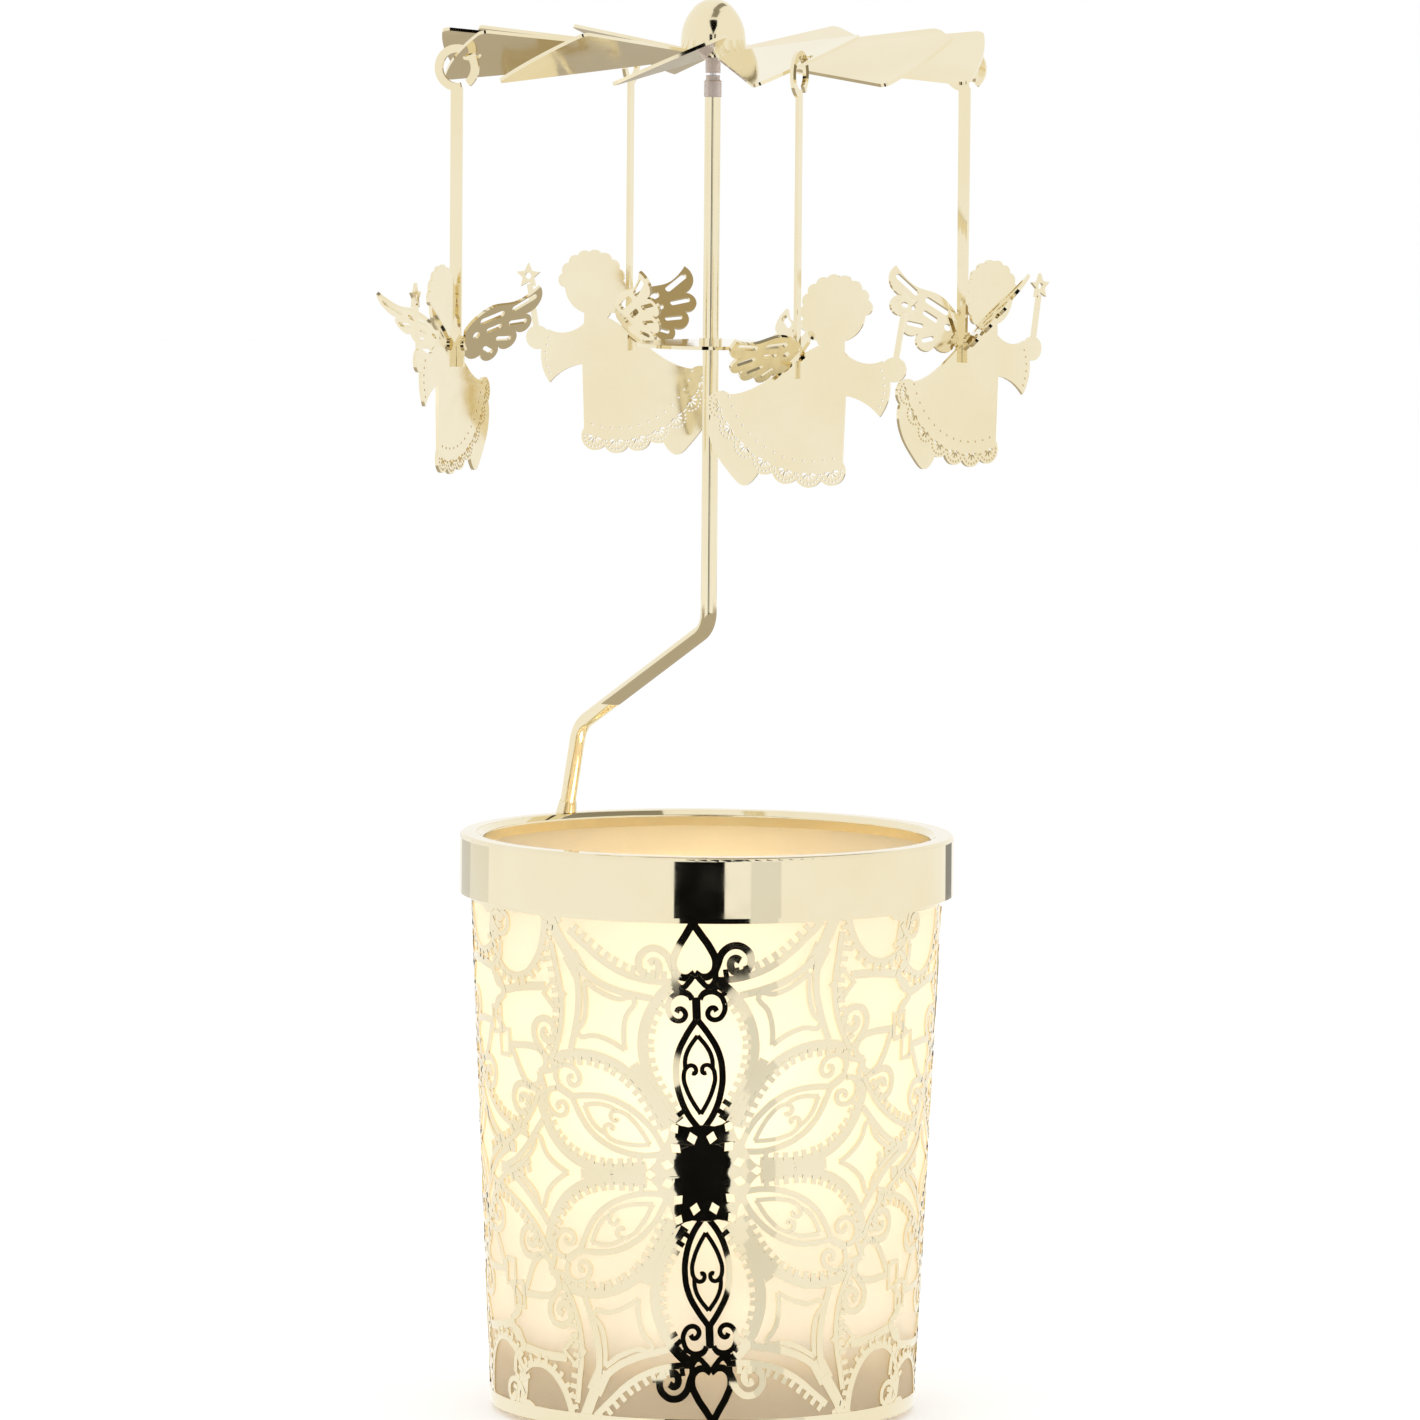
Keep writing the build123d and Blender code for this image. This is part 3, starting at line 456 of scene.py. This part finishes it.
def dress(nodes, material):
    """Gives CAD nodes a finish."""
    for name in nodes:
        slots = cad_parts[name].data.materials
        slots.clear()
        slots.append(material)


def smooth_faces(obj, angle):
    """Smooth shading with sharp folds."""
    obj.data.shade_smooth()
    obj.data.set_sharp_from_angle(angle=angle)


def mesh_piece(name, bm, material):
    """Object at the origin from a finished mesh."""
    mesh = bpy.data.meshes.new(name)
    bm.to_mesh(mesh)
    bm.free()
    mesh.materials.append(material)
    return link(bpy.data.objects.new(name, mesh))


def turned(point, degrees):
    """A drawn point, turned about the middle of its rosette."""
    angle = math.radians(degrees)
    out, side = point
    return (out * math.cos(angle) - side * math.sin(angle), out * math.sin(angle) + side * math.cos(angle))


def both_sides(points):
    """A path and its mirror image, or the path alone where it runs along the middle line."""
    if not any(side for out, side in points):
        return (points,)
    return (points, tuple((out, -side) for out, side in points))


def teeth(points, reach_to):
    """Short strokes across a path, evenly spaced along it. reach_to is +1 for the left side of the path."""
    strokes = []
    left = TOOTH_SPACING / 2
    for (x0, y0), (x1, y1) in zip(points, points[1:]):
        length = math.hypot(x1 - x0, y1 - y0)
        ax, ay = (x1 - x0) / length, (y1 - y0) / length
        while left < length:
            x, y = x0 + ax * left, y0 + ay * left
            nx, ny = -ay * reach_to, ax * reach_to
            root, tip = TOOTH_ROOT, TOOTH_EDGE + TOOTH_REACH
            strokes.append(((x + root * nx, y + root * ny), (x + tip * nx, y + tip * ny)))
            left += TOOTH_SPACING
        left -= length
    return strokes


def rosette_strokes():
    """Every stroke of one rosette by its width."""
    strokes = {}

    def add(width, points, angle):
        strokes.setdefault(width, []).append([turned(p, angle) for p in points])

    for k in range(PETALS):
        petal = 90 + PETAL_STEP * k
        between = petal + PETAL_STEP // 2
        for width, points in PETAL_LINES.values():
            for path in both_sides(points):
                add(width, path, petal)
        for sign, path in zip((1, -1), both_sides(LACE_BAND[1])):
            add(LACE_BAND[0], path, petal)
            for tooth in teeth(path, -sign):
                add(TOOTH_WIDTH, tooth, petal)
        for sign, path in zip((1, -1), both_sides(BORDER_ARC[1])):
            add(BORDER_ARC[0], path, petal)
            for tooth in teeth(path, sign):
                add(TOOTH_WIDTH, tooth, petal)
        for width, points in BETWEEN_LINES.values():
            for path in both_sides(points):
                add(width, path, between)
        links = (SIDE_LINK,) if between % 180 == 0 else BORDER_LINKS
        for width, points in links:
            add(width, points, between)
    for across in (1, -1):
        for up in (1, -1):
            for width, points in (*CORNER_LINES.values(), CORNER_ARC):
                add(width, [(across * u, up * v) for u, v in points], 0)
            arc = [(across * u, up * v) for u, v in CORNER_ARC[1]]
            for tooth in teeth(arc, -across * up):
                add(TOOTH_WIDTH, tooth, 0)
    return strokes


def ribbon(width, paths, thickness):
    """Flat strips of one width along smooth paths, as one mesh."""
    half = width / 2 * MM
    profile = bpy.data.curves.new("strip_section", "CURVE")
    section = profile.splines.new("POLY")
    section.points.add(3)
    corners = ((-half, 0), (half, 0), (half, thickness), (-half, thickness))
    for point, (x, y) in zip(section.points, corners):
        point.co = (x, y, 0, 1)
    section.use_cyclic_u = True
    profile_obj = link(bpy.data.objects.new("strip_section", profile))
    curve = bpy.data.curves.new("strips", "CURVE")
    curve.dimensions = "3D"
    curve.twist_mode = "Z_UP"
    curve.bevel_mode = "OBJECT"
    curve.bevel_object = profile_obj
    curve.use_fill_caps = True
    curve.resolution_u = 4
    for path in paths:
        straight = len(path) == 2 or path[0] == path[-1]
        spline = curve.splines.new("POLY" if straight else "BEZIER")
        if straight:
            spline.points.add(len(path) - 1)
            for point, (x, y) in zip(spline.points, path):
                point.co = (x * MM, y * MM, 0, 1)
            continue
        spline.bezier_points.add(len(path) - 1)
        for point, (x, y) in zip(spline.bezier_points, path):
            point.co = (x * MM, y * MM, 0)
            point.handle_left_type = point.handle_right_type = "AUTO"
    strips = link(bpy.data.objects.new("strips", curve))
    depsgraph = bpy.context.evaluated_depsgraph_get()
    mesh = bpy.data.meshes.new_from_object(strips.evaluated_get(depsgraph))
    bpy.data.objects.remove(strips)
    bpy.data.objects.remove(profile_obj)
    return mesh


def pierced_middle(thickness, step):
    """Middle of a rosette: a plate with two rings of small diamond holes."""
    curve = bpy.data.curves.new("middle", "CURVE")
    curve.dimensions = "2D"
    curve.fill_mode = "BOTH"
    curve.extrude = thickness / 2
    outline = []
    for k in range(MIDDLE_POINTS):
        angle = 360 / MIDDLE_POINTS * k
        off_tip = abs((angle + PETAL_STEP / 2) % PETAL_STEP - PETAL_STEP / 2)
        swell = MIDDLE_SWELL * max(0.0, 1 - off_tip / MIDDLE_SWELL_TURN)
        outline.append(turned((MIDDLE_TIP if off_tip < 1 else MIDDLE_RADIUS + swell, 0.0), angle))
    rings = [outline]
    for count, first, (near, middle, far), half in MIDDLE_HOLES:
        diamond = ((near, 0.0), (middle, -half), (far, 0.0), (middle, half))
        for k in range(count):
            rings.append([turned(p, first + 360 / count * k) for p in diamond])
    for ring in rings:
        spline = curve.splines.new("POLY")
        spline.points.add(len(ring) - 1)
        for point, (x, y) in zip(spline.points, ring):
            point.co = (x * MM, y * MM, 0, 1)
        spline.use_cyclic_u = True
    plate = link(bpy.data.objects.new("middle", curve))
    depsgraph = bpy.context.evaluated_depsgraph_get()
    mesh = bpy.data.meshes.new_from_object(plate.evaluated_get(depsgraph))
    bpy.data.objects.remove(plate)
    bm = bmesh.new()
    bm.from_mesh(mesh)
    bmesh.ops.translate(bm, verts=bm.verts, vec=(0, 0, thickness / 2))
    span = MIDDLE_SPAN * MM
    strips = round(span / step)
    for k in range(1, strips):
        geom = bm.verts[:] + bm.edges[:] + bm.faces[:]
        at = span * (k / strips - 0.5)
        bmesh.ops.bisect_plane(bm, geom=geom, plane_co=(at, 0, 0), plane_no=(1, 0, 0))
    bm.to_mesh(mesh)
    bm.free()
    return mesh


def wrap(bm, settings, middle):
    """Bends a flat sheet round the tapered glass. Flat X runs round, Y up and Z outwards."""
    base = settings.foot_radius + settings.taper * middle
    for vert in bm.verts:
        up = middle + vert.co.y
        angle = settings.front + vert.co.x / base
        radius = settings.foot_radius + settings.taper * up + settings.gap + vert.co.z
        vert.co = (radius * math.cos(angle), radius * math.sin(angle), up)


def band(bm, low, high, settings):
    """Plain border round the sleeve between two heights."""
    corners = []
    for z, lift in ((low, 0.0), (low, settings.sheet), (high, settings.sheet), (high, 0.0)):
        radius = settings.foot_radius + settings.taper * z + settings.gap + lift
        corners.append(bm.verts.new((radius, 0, z)))
    edges = [bm.edges.new((corners[k], corners[(k + 1) % 4])) for k in range(4)]
    bmesh.ops.spin(bm, geom=corners + edges, cent=(0, 0, 0), axis=(0, 0, 1), angle=math.tau,
                   steps=BORDER_STEPS, use_merge=True)


class CAROUSEL_OT_finishes(Operator):
    """Build the shared finishes"""

    bl_idname = "carousel.finishes"
    bl_label = "Finishes"

    def execute(self, context):
        wander_group()
        tint_group()
        foot_group()
        return {"FINISHED"}


class CAROUSEL_OT_filigree(Operator):
    """Draw the pierced sleeve flat, bend it round the glass and repeat it"""

    bl_idname = "carousel.filigree"
    bl_label = "Pierced sleeve"

    def execute(self, context):
        settings = context.scene.carousel_filigree
        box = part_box("filigree_sleeve")
        low, high = box[0].z, box[1].z
        size = (high - low) / settings.drawn_height
        flat = bmesh.new()
        for number, (width, paths) in enumerate(sorted(rosette_strokes().items())):
            mesh = ribbon(width, paths, settings.sheet * (1 - STROKE_STEP * number))
            flat.from_mesh(mesh)
            bpy.data.meshes.remove(mesh)
        mesh = pierced_middle(settings.sheet * MIDDLE_SHARE, settings.bend_step)
        flat.from_mesh(mesh)
        bpy.data.meshes.remove(mesh)
        lean = Matrix.Rotation(settings.lean, 3, "Z")
        bmesh.ops.rotate(flat, verts=flat.verts, cent=(0, 0, 0), matrix=lean)
        bmesh.ops.scale(flat, verts=flat.verts, vec=(size, size, 1))
        wrap(flat, settings, low + settings.rise * size)
        panel = bpy.data.meshes.new("rosette_panel")
        flat.to_mesh(panel)
        flat.free()
        whole = bmesh.new()
        for k in range(settings.rosettes):
            first = len(whole.verts)
            whole.from_mesh(panel)
            whole.verts.ensure_lookup_table()
            turn = Matrix.Rotation(math.tau / settings.rosettes * k, 3, "Z")
            bmesh.ops.rotate(whole, verts=whole.verts[first:], cent=(0, 0, 0), matrix=turn)
        bpy.data.meshes.remove(panel)
        for height, outwards in ((high, 1), (low, -1)):
            everything = whole.verts[:] + whole.edges[:] + whole.faces[:]
            bmesh.ops.bisect_plane(whole, geom=everything, plane_co=(0, 0, height), plane_no=(0, 0, outwards),
                                   clear_outer=True)
        band(whole, low, low + LOW_BORDER, settings)
        band(whole, high - TOP_BORDER, high, settings)
        bmesh.ops.recalc_face_normals(whole, faces=whole.faces)
        lace_gold = gold_material("lace_gold", low=0.03, high=0.07, wave=0.003)
        piece = mesh_piece("filigree_lace", whole, lace_gold)
        smooth_faces(piece, FOLD_ANGLE)
        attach(piece, "glass")
        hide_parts("filigree_sleeve")
        return {"FINISHED"}


class CAROUSEL_OT_metalwork(Operator):
    """Plate the ring, the post, the rotor and the angels"""

    bl_idname = "carousel.metalwork"
    bl_label = "Gold metalwork"

    def execute(self, context):
        turned_gold = gold_material("ring_gold", low=0.03, high=0.07, wave=0.004)
        dress(("collar_ring", "post", "post_foot", "disc_eyelet"), turned_gold)
        dress(("dome_cap",), gold_material("cap_gold", low=0.08, high=0.16, wave=0.06))
        sheet_gold = gold_material("sheet_gold", low=0.04, high=0.1, wave=0.012)
        sheets = ["impeller", "post_disc"]
        for k in range(1, 5):
            sheets += [f"wing_hanger_{k}", f"angel_{k}"]
        dress(sheets, sheet_gold)
        return {"FINISHED"}


class CAROUSEL_OT_tumbler(Operator):
    """Frost the glass"""

    bl_idname = "carousel.tumbler"
    bl_label = "Frosted tumbler"

    def execute(self, context):
        dress(("glass_tumbler",), frosted_material())
        return {"FINISHED"}


class CAROUSEL_OT_bearing(Operator):
    """Finish the needle, its bush and the bearing tube"""

    bl_idname = "carousel.bearing"
    bl_label = "Needle bearing"

    def execute(self, context):
        dress(("needle_bush", "bearing_tube"), clear_material())
        steel = plain_material("needle_steel", (0.68, 0.68, 0.69), (0.5, 0.5, 0.52), metallic=1.0,
                               low=0.18, high=0.32, scale=800.0)
        dress(("pivot_needle",), steel)
        return {"FINISHED"}


class CAROUSEL_OT_tealight(Operator):
    """Finish the candle in its cup"""

    bl_idname = "carousel.tealight"
    bl_label = "Tealight"

    def execute(self, context):
        finish = context.scene.carousel_finish
        foil = plain_material("cup_foil", (0.86, 0.86, 0.87), (0.7, 0.7, 0.72), metallic=1.0,
                              low=0.2, high=0.38, scale=300.0)
        dress(("tealight_cup", "wick_sustainer"), foil)
        shade = tuple(0.92 * c for c in finish.wax)
        wax = plain_material("wax", finish.wax, shade, metallic=0.0, low=0.35, high=0.5, scale=150.0)
        scatter = wax.node_tree.nodes["Principled BSDF"].inputs
        scatter["Subsurface Weight"].default_value = 0.4
        scatter["Subsurface Radius"].default_value = (1.0, 0.9, 0.75)
        scatter["Subsurface Scale"].default_value = 0.001
        dress(("tealight_wax",), wax)
        wick = plain_material("wick_cotton", (0.85, 0.81, 0.72), (0.62, 0.57, 0.48), metallic=0.0,
                              low=0.8, high=0.95, scale=2500.0)
        dress(("tealight_wick",), wick)
        return {"FINISHED"}


def area_light(name, location, aim, size, power):
    """White lamp that aims at a height on the axis. Mirrors don't see it."""
    data = bpy.data.lights.new(name, "AREA")
    data.shape = "RECTANGLE"
    data.size, data.size_y = size
    data.energy = power
    data.color = WHITE
    obj = link(bpy.data.objects.new(name, data))
    obj.location = location
    obj.rotation_euler = (Vector((0, 0, aim)) - Vector(location)).to_track_quat("-Z", "Y").to_euler()
    obj.visible_glossy = False


def point_light(name, location, power, tint, size):
    """Small round lamp."""
    data = bpy.data.lights.new(name, "POINT")
    data.energy = power
    data.color = tint
    data.shadow_soft_size = size
    obj = link(bpy.data.objects.new(name, data))
    obj.location = location


def seen_directly(tree):
    """Factor that is 1 for what the camera sees, be it plainly, in a mirror or through glass."""
    path = tree.nodes.new("ShaderNodeLightPath")
    factor = path.outputs["Is Camera Ray"]
    for label in ("Is Glossy Ray", "Is Transmission Ray"):
        either = tree.nodes.new("ShaderNodeMath")
        either.operation = "MAXIMUM"
        tree.links.new(factor, either.inputs[0])
        tree.links.new(path.outputs[label], either.inputs[1])
        factor = either.outputs["Value"]
    return factor


def white_world(scene):
    """White all round. It lights the object a little less than it shows itself."""
    world = bpy.data.worlds.new("studio")
    scene.world = world
    world.use_nodes = True
    tree = world.node_tree
    back = tree.nodes["Background"]
    back.inputs["Color"].default_value = color(WHITE)
    strength = tree.nodes.new("ShaderNodeMapRange")
    strength.inputs["To Min"].default_value = WORLD_FILL
    strength.inputs["To Max"].default_value = 1.0
    tree.links.new(seen_directly(tree), strength.inputs["Value"])
    tree.links.new(strength.outputs["Result"], back.inputs["Strength"])


def floor_material():
    """Matt white paper, lifted to the white of the background where the camera sees it."""
    material, tree, shader = new_material("floor")
    shader.inputs["Base Color"].default_value = color(FLOOR_TONE)
    shader.inputs["Roughness"].default_value = 0.7
    shader.inputs["Specular IOR Level"].default_value = 0.1
    lift = tree.nodes.new("ShaderNodeEmission")
    lift.inputs["Color"].default_value = color(FLOOR_LIFT)
    both = tree.nodes.new("ShaderNodeAddShader")
    tree.links.new(seen_directly(tree), lift.inputs["Strength"])
    tree.links.new(shader.outputs["BSDF"], both.inputs[0])
    tree.links.new(lift.outputs["Emission"], both.inputs[1])
    tree.links.new(both.outputs["Shader"], tree.nodes["Material Output"].inputs["Surface"])
    return material


def glow_material(name, tone):
    """Even glow of one tone."""
    material = bpy.data.materials.new(name)
    material.use_nodes = True
    tree = material.node_tree
    tree.nodes.clear()
    glow = tree.nodes.new("ShaderNodeEmission")
    glow.inputs["Color"].default_value = color(tone)
    output = tree.nodes.new("ShaderNodeOutputMaterial")
    tree.links.new(glow.outputs["Emission"], output.inputs["Surface"])
    return material


def glow_from_above(name, tone):
    """Glow on the upper side of a card. From below it is clear."""
    material = glow_material(name, tone)
    tree = material.node_tree
    side = tree.nodes.new("ShaderNodeNewGeometry")
    clear = tree.nodes.new("ShaderNodeBsdfTransparent")
    mix = tree.nodes.new("ShaderNodeMixShader")
    tree.links.new(side.outputs["Backfacing"], mix.inputs["Fac"])
    tree.links.new(tree.nodes["Emission"].outputs["Emission"], mix.inputs[1])
    tree.links.new(clear.outputs["BSDF"], mix.inputs[2])
    tree.links.new(mix.outputs["Shader"], tree.nodes["Material Output"].inputs["Surface"])
    return material


def wedge(start, end, near, far, height):
    """Outline of a card round the axis. Angles run to the right of the camera."""
    turns = [math.radians(start + (end - start) * k / WEDGE_STEPS - 90) for k in range(WEDGE_STEPS + 1)]
    outer = [(far * math.cos(t), far * math.sin(t), height) for t in turns]
    if not near:
        return outer + [(0, 0, height)]
    return outer + [(near * math.cos(t), near * math.sin(t), height) for t in reversed(turns)]


def card(name, outline, material):
    """Flag that only mirrors see."""
    bm = bmesh.new()
    bm.faces.new([bm.verts.new(c) for c in outline])
    obj = mesh_piece(name, bm, material)
    obj.visible_camera = False
    obj.visible_diffuse = False
    obj.visible_shadow = False
    obj.visible_transmission = False


class CAROUSEL_OT_stage(Operator):
    """Set the camera, the lamps, the floor and the flags"""

    bl_idname = "carousel.stage"
    bl_label = "Studio stage"

    def execute(self, context):
        stage = context.scene.carousel_stage
        scene = context.scene
        scene.view_settings.view_transform = "Standard"
        data = bpy.data.cameras.new("camera")
        data.lens = stage.lens
        data.sensor_width = 36.0
        data.clip_end = 20.0
        camera = link(bpy.data.objects.new("camera", data))
        camera.location = (stage.side, -stage.distance, stage.height)
        look = Vector((stage.side, 0, stage.aim)) - camera.location
        level = look.to_track_quat("-Z", "Y").to_matrix()
        camera.rotation_euler = (level @ Matrix.Rotation(stage.roll, 3, "Z")).to_euler()
        scene.camera = camera

        white_world(scene)
        bm = bmesh.new()
        bmesh.ops.create_circle(bm, cap_ends=True, segments=96, radius=FLOOR_RADIUS)
        mesh_piece("floor", bm, floor_material())

        for name, lamp in LAMPS.items():
            area_light(name, *lamp)
        for name, glow in GLOWS.items():
            point_light(name, *glow)
        for k in range(GAP_LAMPS):
            turn = math.tau * (k + 0.5) / GAP_LAMPS
            place = (GAP_RADIUS * math.cos(turn), GAP_RADIUS * math.sin(turn), GAP_HEIGHT)
            point_light(f"gap_glow_{k + 1}", place, GAP_POWER, GAP_TINT, GAP_LAMP_SIZE)

        dark = glow_material("front_dark", DARK_TONE)
        for name, (left, right) in FRONT_FLAGS.items():
            corners = ((left, FLAG_LOW), (right, FLAG_LOW), (right, FLAG_HIGH), (left, FLAG_HIGH))
            card(name, [(x, -FLAG_DISTANCE, z) for x, z in corners], dark)
        white = glow_material("floor_white", CARD_WHITE)
        card("studio_ring", wedge(0, 180, 0.0, STUDIO_RADIUS, WHITE_HEIGHT), white)
        card("studio_ring_left", wedge(180, 360, 0.0, STUDIO_RADIUS, WHITE_HEIGHT), white)
        for name, (start, end, near, far, tone) in STUDIO_CARDS.items():
            card(name, wedge(start, end, near, far, CARD_HEIGHT), glow_material(name, (tone, tone, tone)))
        grey = glow_from_above("under_grey", UNDER_TONE)
        for name, (start, end, far) in UNDER_CARDS.items():
            card(name, wedge(start, end, 0.0, far, UNDER_HEIGHT), grey)
        card("under_card_rear", [(x, y, UNDER_HEIGHT) for x, y in UNDER_REAR], grey)
        card("front_peak", [(x, -FLAG_DISTANCE, z) for x, z in FRONT_PEAK], dark)
        card("top_seam", [(x, y, SEAM_HEIGHT) for x, y in TOP_SEAM], glow_material("seam_grey", SEAM_TONE))
        return {"FINISHED"}


class CAROUSEL_PT_panel(Panel):
    """Lists the steps that dress the carousel"""

    bl_idname = "CAROUSEL_PT_panel"
    bl_label = "Angel chime carousel"
    bl_space_type = "VIEW_3D"
    bl_region_type = "UI"
    bl_category = "Carousel"

    def draw(self, context):
        for step in STEPS:
            self.layout.operator(step.bl_idname)
        for name in ("carousel_filigree", "carousel_finish", "carousel_stage"):
            box = self.layout.box()
            settings = getattr(context.scene, name)
            for field in settings.__annotations__:
                box.prop(settings, field)


STEPS = (
    CAROUSEL_OT_finishes,
    CAROUSEL_OT_filigree,
    CAROUSEL_OT_metalwork,
    CAROUSEL_OT_tumbler,
    CAROUSEL_OT_bearing,
    CAROUSEL_OT_tealight,
    CAROUSEL_OT_stage,
)
CLASSES = (FiligreeSettings, FinishSettings, StageSettings, *STEPS, CAROUSEL_PT_panel)


def register():
    for cls in CLASSES:
        bpy.utils.register_class(cls)
    bpy.types.Scene.carousel_filigree = PointerProperty(type=FiligreeSettings)
    bpy.types.Scene.carousel_finish = PointerProperty(type=FinishSettings)
    bpy.types.Scene.carousel_stage = PointerProperty(type=StageSettings)


def unregister():
    del bpy.types.Scene.carousel_stage
    del bpy.types.Scene.carousel_finish
    del bpy.types.Scene.carousel_filigree
    for cls in reversed(CLASSES):
        bpy.utils.unregister_class(cls)


def main():
    register()
    bpy.ops.carousel.finishes()
    bpy.ops.carousel.filigree()
    bpy.ops.carousel.metalwork()
    bpy.ops.carousel.tumbler()
    bpy.ops.carousel.bearing()
    bpy.ops.carousel.tealight()
    bpy.ops.carousel.stage()


if __name__ == "__main__":
    main()
